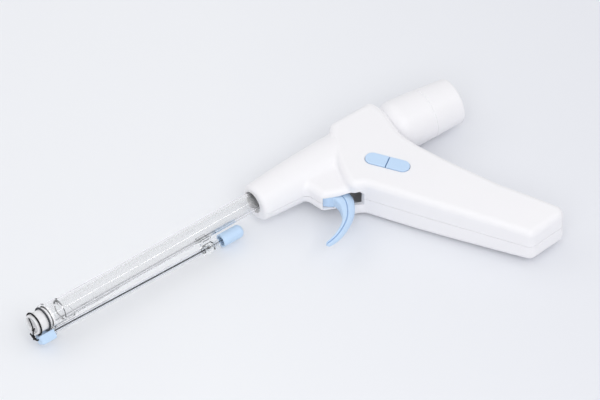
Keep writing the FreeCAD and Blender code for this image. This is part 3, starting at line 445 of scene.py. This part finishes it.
def mesh_object(name, shape, finish, sharp_deg=35.0):
    """A plain object from a mesh in the making, smooth apart from its sharper edges."""
    mesh = bpy.data.meshes.new(name)
    shape.to_mesh(mesh)
    shape.free()
    mesh.materials.append(finish)
    for side in mesh.polygons:
        side.use_smooth = True
    mesh.set_sharp_from_angle(angle=math.radians(sharp_deg))
    piece = bpy.data.objects.new(name, mesh)
    bpy.context.scene.collection.objects.link(piece)
    return piece


# %% Make the trigger
blade_piece = mesh_object("trigger_blade", blade_loft(), blue_abs)
hub_piece = mesh_object("trigger_hub", trigger_hub(), blue_abs)
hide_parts("trigger")
for piece in (blade_piece, hub_piece):
    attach(piece, "trigger")
print("blade", len(blade_piece.data.polygons), "faces, hub", len(hub_piece.data.polygons))

# %% [markdown]
# ## Twisted cord from Geometry Nodes
#
# A surgical thread is several strands laid round each other. It could be drawn as a bump on
# a tube, but a bump has no outline, and at the tip the outline is what one sees. So a small
# tree of nodes follows any curve: it copies the curve once for each strand, pushes each copy
# round the path in a helix, and sweeps a circle along it. The sizes are the tree's inputs.


# %% Cord tree
def build_cord_tree():
    """A node tree that turns a curve into a cord of helical strands."""
    tree = bpy.data.node_groups.new("laid_cord", "GeometryNodeTree")
    face = tree.interface
    face.new_socket("Geometry", in_out="INPUT", socket_type="NodeSocketGeometry")
    for name in ("Strand Radius", "Helix Radius", "Lay Length", "Step Length"):
        face.new_socket(name, in_out="INPUT", socket_type="NodeSocketFloat")
    for name in ("Strands", "Sides"):
        face.new_socket(name, in_out="INPUT", socket_type="NodeSocketInt")
    face.new_socket("Finish", in_out="INPUT", socket_type="NodeSocketMaterial")
    face.new_socket("Geometry", in_out="OUTPUT", socket_type="NodeSocketGeometry")
    given = add_node(tree, "NodeGroupInput").outputs
    path = add_node(tree, "GeometryNodeResampleCurve", {"mode": "LENGTH"}, Curve=given["Geometry"],
                    Length=given["Step Length"])
    copies = add_node(tree, "GeometryNodeDuplicateElements", {"domain": "SPLINE"},
                      Geometry=path.outputs["Curve"], Amount=given["Strands"])
    run = add_node(tree, "GeometryNodeSplineParameter").outputs["Length"]
    turns = add_node(tree, "ShaderNodeMath", {"operation": "DIVIDE"}, _0=run,
                     _1=given["Lay Length"])
    part = add_node(tree, "ShaderNodeMath", {"operation": "DIVIDE"},
                    _0=copies.outputs["Duplicate Index"], _1=given["Strands"])
    both = add_node(tree, "ShaderNodeMath", {"operation": "ADD"}, _0=turns.outputs[0],
                    _1=part.outputs[0])
    angle = add_node(tree, "ShaderNodeMath", {"operation": "MULTIPLY"}, _0=both.outputs[0],
                     _1=2 * math.pi)
    cosine = add_node(tree, "ShaderNodeMath", {"operation": "COSINE"}, _0=angle.outputs[0])
    sine = add_node(tree, "ShaderNodeMath", {"operation": "SINE"}, _0=angle.outputs[0])
    normal = add_node(tree, "GeometryNodeInputNormal").outputs[0]
    tangent = add_node(tree, "GeometryNodeInputTangent").outputs[0]
    across = add_node(tree, "ShaderNodeVectorMath", {"operation": "CROSS_PRODUCT"}, _0=tangent,
                      _1=normal)
    out_part = add_node(tree, "ShaderNodeVectorMath", {"operation": "SCALE"}, _0=normal,
                        Scale=cosine.outputs[0])
    side_part = add_node(tree, "ShaderNodeVectorMath", {"operation": "SCALE"}, _0=across.outputs[0],
                         Scale=sine.outputs[0])
    outward = add_node(tree, "ShaderNodeVectorMath", {"operation": "ADD"}, _0=out_part.outputs[0],
                       _1=side_part.outputs[0])
    shift = add_node(tree, "ShaderNodeVectorMath", {"operation": "SCALE"}, _0=outward.outputs[0],
                     Scale=given["Helix Radius"])
    laid = add_node(tree, "GeometryNodeSetPosition", Geometry=copies.outputs["Geometry"],
                    Offset=shift.outputs[0])
    section = add_node(tree, "GeometryNodeCurvePrimitiveCircle", Resolution=given["Sides"],
                       Radius=given["Strand Radius"])
    swept = add_node(tree, "GeometryNodeCurveToMesh", Curve=laid.outputs["Geometry"],
                     Profile_Curve=section.outputs["Curve"], Fill_Caps=True)
    smooth = add_node(tree, "GeometryNodeSetShadeSmooth", Geometry=swept.outputs["Mesh"])
    real = add_node(tree, "GeometryNodeRealizeInstances", Geometry=smooth.outputs["Geometry"])
    dressed = add_node(tree, "GeometryNodeSetMaterial", Geometry=real.outputs["Geometry"],
                       Material=given["Finish"])
    add_node(tree, "NodeGroupOutput", Geometry=dressed.outputs["Geometry"])
    return tree


cord_tree = build_cord_tree()
print("cord tree has", len(cord_tree.nodes), "nodes")

# %% [markdown]
# ## From a path to a plain mesh
#
# The tree runs once, and its result becomes a plain mesh. Paths are smooth splines through a
# few points, or a closed ring about the barrel.


# %% Path and baking helpers
RING_POINTS = 48
STRAND_OVERLAP = 1.04


def spline_path(name, points, closed=False):
    """A smooth curve object through the given points."""
    curve = bpy.data.curves.new(name, "CURVE")
    curve.dimensions = "3D"
    curve.resolution_u = 16
    spline = curve.splines.new("NURBS")
    spline.points.add(len(points) - 1)
    for slot, point in zip(spline.points, points):
        slot.co = (*point, 1.0)
    spline.order_u = 3 if len(points) < 4 or not closed else 4
    spline.use_endpoint_u = not closed
    spline.use_cyclic_u = closed
    path = bpy.data.objects.new(name, curve)
    bpy.context.scene.collection.objects.link(path)
    return path


def bake_tree(path, tree, settings, name):
    """Runs a node tree on an object and keeps the result as a plain mesh object."""
    modifier = path.modifiers.new("tree", "NODES")
    modifier.node_group = tree
    for socket in tree.interface.items_tree:
        if socket.in_out == "INPUT" and socket.name in settings:
            modifier[socket.identifier] = settings[socket.name]
    bpy.context.view_layer.update()
    graph = bpy.context.evaluated_depsgraph_get()
    mesh = bpy.data.meshes.new_from_object(path.evaluated_get(graph))
    mesh.name = name
    path.modifiers.remove(modifier)
    bpy.data.objects.remove(path)
    piece = bpy.data.objects.new(name, mesh)
    bpy.context.scene.collection.objects.link(piece)
    return piece


def laid_cord(name, path, radius_mm, strands, lay_mm, finish, sides=8, steps=14):
    """A cord of touching helical strands along a path, with its outside at the given radius."""
    share = 1.0 / (1.0 + 1.0 / math.sin(math.pi / strands))
    settings = {
        "Strand Radius": radius_mm * share * STRAND_OVERLAP * MM,
        "Helix Radius": radius_mm * (1 - share) * MM,
        "Lay Length": lay_mm * MM, "Step Length": lay_mm * MM / steps,
        "Strands": strands, "Sides": sides, "Finish": finish,
    }
    cord = bake_tree(path, cord_tree, settings, name)
    print(name, "has", len(cord.data.polygons), "faces")
    return cord


def ring_path(name, behind_mm, radius_mm):
    """A round closed path about the barrel's axis."""
    points = []
    for i in range(RING_POINTS):
        turn = 2 * math.pi * i / RING_POINTS
        around = Vector((0.0, math.cos(turn), math.sin(turn)))
        points.append(on_barrel(behind_mm, radius_mm, around))
    return spline_path(name, points, closed=True)


# %% [markdown]
# ## The loop and the band on the drum
#
# Two rings sit on the clear drum. The front one is a noose of the black thread, pulled tight
# round the cup. The rear one is the elastic ligature: a corded rubber ring, thicker and
# greyer. Both come from the cord tree. The number of twists is whole, so the rings close.

# %% Loop and band
DRUM_R, RING_GAP = 6.3, 0.05
LOOP_BEHIND, LOOP_SECTION, LOOP_TWISTS = 1.6, 1.1, 24
BAND_BEHIND, BAND_SECTION, BAND_TWISTS = 7.9, 1.3, 18
loop_r = DRUM_R + RING_GAP + LOOP_SECTION / 2
band_r = DRUM_R + RING_GAP + BAND_SECTION / 2
noose = laid_cord("thread_noose", ring_path("noose_path", LOOP_BEHIND, loop_r), LOOP_SECTION / 2,
                  3, 2 * math.pi * loop_r / LOOP_TWISTS, silk)
corded_band = laid_cord("corded_band", ring_path("band_path", BAND_BEHIND, band_r),
                        BAND_SECTION / 2, 2, 2 * math.pi * band_r / BAND_TWISTS, band_rubber,
                        sides=12, steps=18)
for piece, node, body, slot in ((noose, "thread_loop", "loop", "black_thread"),
                                (corded_band, "elastic_band", "band", "rubber")):
    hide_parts(node)
    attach(piece, body)

# %% [markdown]
# ## The thread beside the barrel
#
# The thread runs straight from the blue block through its small clear tube, ends in a bead
# of set glue at the clip, and goes on as a thin tail into the pull cap. It is held straight,
# so it is one cord on a straight path, a thinner one for the tail, and a turned bead.


# %% Thread line, bead and tail
LINE_START, LINE_END, TAIL_START, TAIL_END = 0.4, 121.4, 121.6, 140.6
BEAD_BEHIND, BEAD_R, BEAD_LONG = 121.7, 0.8, 1.25
SPREAD_START, SPREAD_LENGTH = 10.0, 108.0
LINE_OUT, LINE_SPREAD = 9.2, 2.0
RUN_PARTS = 4


def thread_point(behind_mm):
    """The thread line beside the sleeve, which spreads a little towards the clip."""
    share = min((behind_mm - SPREAD_START) / SPREAD_LENGTH, 1.0)
    return on_barrel(behind_mm, LINE_OUT + LINE_SPREAD * share)


def bead(name, middle, radius_mm, long, finish):
    """A small drop of set glue, a little longer than round."""
    shape = bmesh.new()
    bmesh.ops.create_uvsphere(shape, u_segments=20, v_segments=14, radius=radius_mm * MM)
    for vertex in shape.verts:
        vertex.co = Vector((vertex.co.z * long, vertex.co.x, vertex.co.y)) + middle
    return mesh_object(name, shape, finish)


def straight_path(name, start_mm, end_mm):
    """A straight path along the thread line."""
    run = (end_mm - start_mm) / RUN_PARTS
    return spline_path(name, [thread_point(start_mm + run * i) for i in range(RUN_PARTS + 1)])


thread_line = laid_cord("ligature_line", straight_path("line_path", LINE_START, LINE_END), 0.45, 3,
                        1.9, silk, 7, 10)
thread_tail = laid_cord("ligature_tail", straight_path("tail_path", TAIL_START, TAIL_END), 0.25, 2,
                        1.4, silk, 6, 10)
glue_bead = bead("glue_bead", thread_point(BEAD_BEHIND), BEAD_R, BEAD_LONG, silk)
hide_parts("ligature_thread")
for piece in (thread_line, thread_tail, glue_bead):
    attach(piece, "pusher")

# %% [markdown]
# ## Knots at the tip
#
# A small knot lies at the bottom of the drum's mouth, with one length across the mouth and
# one cut end that stands up. A longer knot sits outside, in front of the blue block. A knot
# is a cord on a knotted path: a trefoil, the shape of an overhand knot drawn tight, made
# small and long.


# %% Knot helper
KNOT_POINTS = 30
KNOT_FLATNESS = 2.2


def knot_path(name, middle, along, size_mm, length_mm):
    """The closed path of a tight overhand knot, drawn out along a direction."""
    along = along.normalized()
    side = along.cross(Vector((1.0, 0.0, 0.0)))
    side = (side if side.length > 0.1 else along.cross(Vector((0.0, 0.0, 1.0)))).normalized()
    out = along.cross(side)
    points = []
    for i in range(KNOT_POINTS):
        t = 2 * math.pi * i / KNOT_POINTS
        a = (math.sin(t) + 2 * math.sin(2 * t)) / 3
        b = (math.cos(t) - 2 * math.cos(2 * t)) / 3
        c = -math.sin(3 * t) / KNOT_FLATNESS
        points.append(middle + (along * (a * length_mm / 2) + side * (b * size_mm / 2)
                                + out * (c * size_mm / 2)) * MM)
    return spline_path(name, points, closed=True)


# %% Threads in the drum's mouth
def tip_point(behind_mm, y_mm, z_mm):
    """A point at the tip, beside and over the barrel's axis."""
    return on_barrel(behind_mm) + Vector((0.0, y_mm, z_mm)) * MM


mouth_spot = tip_point(0.6, -0.4, -4.0)
arm_ends = [(tip_point(1.4, 2.2, -1.6), tip_point(0.9, 4.25, 1.5)),
            (tip_point(0.4, -1.4, -2.6), tip_point(0.2, -2.3, -1.0))]
arms = []
for number, (bend, end) in enumerate(arm_ends):
    arm_path = spline_path("arm_path", [mouth_spot, bend, end])
    arms.append(laid_cord("mouth_arm_%d" % (number + 1), arm_path, 0.42, 3, 1.7, silk, 7, 10))
inner_path = knot_path("mouth_knot_path", mouth_spot, Vector((0, -0.5, 0.8)), 1.3, 2.0)
mouth_knot = laid_cord("mouth_knot", inner_path, 0.36, 2, 1.1, silk, 6, 10)
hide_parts("mouth_thread")
for piece in arms + [mouth_knot]:
    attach(piece, "housing")

# %% [markdown]
# ## The thread over the rim
#
# From the knot in the mouth the thread comes out over the drum's rim and goes to a second,
# longer knot in front of the block. One end belongs to the drum and the other to the sliding
# sleeve. The knot and its two ends ride on the sleeve.

# %% Thread over the rim and its knot
front_spot = tip_point(-0.6, -2.5, -7.9)
rim_points = [mouth_spot, tip_point(-0.3, -1.4, -4.8), tip_point(-0.8, -2.0, -6.2), front_spot]
rim_thread = laid_cord("rim_thread", spline_path("rim_path", rim_points), 0.42, 3, 1.8, silk, 7, 12)
bar_points = [tip_point(-0.5, 1.1, -7.7), tip_point(-0.7, -0.8, -7.8), front_spot,
              tip_point(-0.6, -4.4, -8.3), tip_point(-0.1, -5.6, -8.0), tip_point(1.0, -6.0, -7.3)]
front_ends = laid_cord("front_ends", spline_path("bar_path", bar_points), 0.5, 3, 1.9, silk, 7, 12)
outer_path = knot_path("front_knot_path", front_spot, Vector((0, -1.0, -0.2)), 1.9, 3.4)
front_knot = laid_cord("front_knot", outer_path, 0.48, 3, 1.5, silk, 7, 12)
for piece in (front_ends, front_knot):
    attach(piece, "pusher")
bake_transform(rim_thread)

# %% [markdown]
# ## The table and the light
#
# The tool lies on a pale blue-white sheet, a plain plane with painted shade that darkens it to the
# right.
# Most of the light is the world's, a little stronger near the horizon, so that the sides of
# the grip stay pale. A broad soft lamp in front and a weaker one behind give the shadows, and
# a narrow strip leaves a bright line along the barrel. Seen straight, mirrored or through
# clear plastic, the world has the sheet's own colour.

# %% Table
TABLE_HALF = 8.0
# The sheet's second colour is painted shade, which darkens it towards the right between these two
# distances.
SHADE_FADE_START, SHADE_FADE_END = -0.05, 0.2
SHEET_COLOUR, SHEET_PAINTED_SHADE = "#eff1f5", "#e7e9ef"
TABLE_SIDES = [(-1, -1), (1, -1), (1, 1), (-1, 1)]
table_corners = [(x * TABLE_HALF, y * TABLE_HALF, 0) for x, y in TABLE_SIDES]
table_mesh = bpy.data.meshes.new("table")
table_mesh.from_pydata(table_corners, [], [(0, 1, 2, 3)])
table = bpy.data.objects.new("table", table_mesh)
bpy.context.scene.collection.objects.link(table)
paper, paper_tree, paper_output = new_material("backdrop_paper_matt")
table_place = add_node(paper_tree, "ShaderNodeTexCoord").outputs["Object"]
table_side = add_node(paper_tree, "ShaderNodeVectorMath", {"operation": "DOT_PRODUCT"},
                      _0=table_place, _1=tuple(RIGHT))
# Painted shade: how far across the sheet the darkening towards the right has come.
painted_shade_share = add_node(paper_tree, "ShaderNodeMapRange", Value=table_side.outputs["Value"],
                       _1=SHADE_FADE_START, _2=SHADE_FADE_END)
sheet_and_painted_shade = add_node(paper_tree, "ShaderNodeMix", {"data_type": "RGBA"},
                      _0=painted_shade_share.outputs["Result"], _6=linear(SHEET_COLOUR),
                      _7=linear(SHEET_PAINTED_SHADE))
table_skin = add_node(paper_tree, "ShaderNodeBsdfPrincipled", Base_Color=sheet_and_painted_shade.outputs[2],
                      Roughness=0.9, IOR=1.3)
paper_tree.links.new(table_skin.outputs["BSDF"], paper_output.inputs["Surface"])
table_mesh.materials.append(paper)

# %% World
SKY_ZENITH, SKY_HORIZON = 0.70, 0.78
world = bpy.data.worlds.new("studio")
bpy.context.scene.world = world
world.use_nodes = True
sky = world.node_tree
sky.nodes.clear()
sky_place = add_node(sky, "ShaderNodeTexCoord").outputs["Generated"]
sky_parts = add_node(sky, "ShaderNodeSeparateXYZ", Vector=sky_place)
sky_level = add_node(sky, "ShaderNodeMapRange", Value=sky_parts.outputs["Z"], _1=0.0, _2=0.8,
                     _3=SKY_HORIZON, _4=SKY_ZENITH)
sky_light = add_node(sky, "ShaderNodeBackground", Color=linear("#fdfdfe"),
                     Strength=sky_level.outputs["Result"])
sky_seen = add_node(sky, "ShaderNodeBackground", Color=linear(SHEET_COLOUR), Strength=1.0)
sky_path = add_node(sky, "ShaderNodeLightPath")
seen_or_mirrored = add_node(sky, "ShaderNodeMath", {"operation": "MAXIMUM"},
                            _0=sky_path.outputs["Is Camera Ray"],
                            _1=sky_path.outputs["Is Glossy Ray"])
seen_any_way = add_node(sky, "ShaderNodeMath", {"operation": "MAXIMUM"},
                        _0=seen_or_mirrored.outputs[0], _1=sky_path.outputs["Is Transmission Ray"])
sky_mix = add_node(sky, "ShaderNodeMixShader", _0=seen_any_way.outputs[0],
                   _1=sky_light.outputs["Background"], _2=sky_seen.outputs["Background"])
add_node(sky, "ShaderNodeOutputWorld", Surface=sky_mix.outputs["Shader"])


# %% Lamps
LAMP_COLOUR = (1.0, 0.995, 0.985)


def soft_lamp(name, towards, away, width, depth, watts):
    """A rectangular soft lamp that looks at the barrel's nose from a direction."""
    data = bpy.data.lights.new(name, "AREA")
    data.shape = "RECTANGLE"
    data.size, data.size_y = width, depth
    data.energy = watts
    data.color = LAMP_COLOUR
    lamp = bpy.data.objects.new(name, data)
    bpy.context.scene.collection.objects.link(lamp)
    towards = Vector(towards).normalized()
    lamp.location = nose_point + towards * away
    lamp.rotation_euler = towards.to_track_quat("Z", "Y").to_euler()


soft_lamp("back_softbox", (-0.25, 0.75, 1.0), 1.5, 1.4, 0.9, 2.4)
soft_lamp("front_softbox", (-0.35, -0.65, 0.85), 1.6, 1.5, 1.1, 8.2)
soft_lamp("strip_light", (0.415, -0.54, 0.731), 1.3, 0.9, 0.12, 0.9)
bpy.context.scene.view_settings.view_transform = "Standard"
